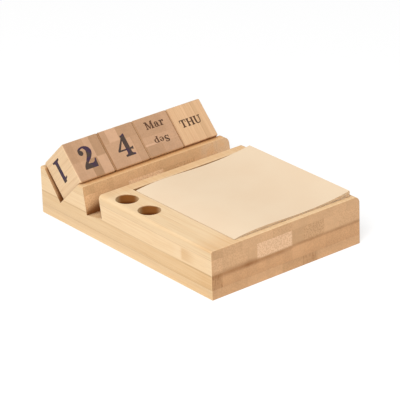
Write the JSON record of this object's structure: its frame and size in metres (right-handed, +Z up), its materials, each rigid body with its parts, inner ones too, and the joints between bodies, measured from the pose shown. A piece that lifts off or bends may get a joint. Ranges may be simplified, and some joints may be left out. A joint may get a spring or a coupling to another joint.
{
  "type": "desk calendar",
  "caption": "Perpetual desk calendar block with a note recess, pen holes, a leaning slot for a phone or cards and a groove that holds loose date cubes.",
  "frame": {"origin": "middle of the block's underside, which rests on the desk", "axes": "+X to the user's right, +Y from the user to the back of the block, +Z up"},
  "size_m": [0.11, 0.16, 0.0496],
  "materials": {
    "bamboo_board": "sanded, clear oil",
    "bamboo_cube": "sanded, clear oil",
    "note_paper": "matt, uncoated"
  },
  "bodies": {
    "block": {"base_board": "bamboo_board", "memo_tray": "bamboo_board", "front_rail": "bamboo_board", "rear_rail": "bamboo_board"},
    "tens_cube": {"tens_cube": "bamboo_cube"},
    "units_cube": {"units_cube": "bamboo_cube"},
    "month_cube": {"month_cube": "bamboo_cube"},
    "weekday_cube": {"weekday_cube": "bamboo_cube"},
    "note_stack": {"note_stack": "note_paper"},
    "curled_notes": {"curled_notes": "note_paper"},
    "top_note": {"top_note": "note_paper"}
  },
  "joints": [
    {"name": "tens_cube_lift", "type": "slide", "parent": "block", "child": "tens_cube", "axis": [0, 0, 1], "range_m": [0, 0.04]},
    {"name": "units_cube_lift", "type": "slide", "parent": "block", "child": "units_cube", "axis": [0, 0, 1], "range_m": [0, 0.04]},
    {"name": "month_cube_lift", "type": "slide", "parent": "block", "child": "month_cube", "axis": [0, 0, 1], "range_m": [0, 0.04]},
    {"name": "weekday_cube_lift", "type": "slide", "parent": "block", "child": "weekday_cube", "axis": [0, 0, 1], "range_m": [0, 0.04]},
    {"name": "note_stack_lift", "type": "slide", "parent": "block", "child": "note_stack", "axis": [0, 0, 1], "range_m": [0, 0.015]},
    {"name": "curled_notes_lift", "type": "slide", "parent": "note_stack", "child": "curled_notes", "axis": [0, 0, 1], "range_m": [0, 0.01]},
    {"name": "top_note_lift", "type": "slide", "parent": "curled_notes", "child": "top_note", "axis": [0, 0, 1], "range_m": [0, 0.01]}
  ]
}
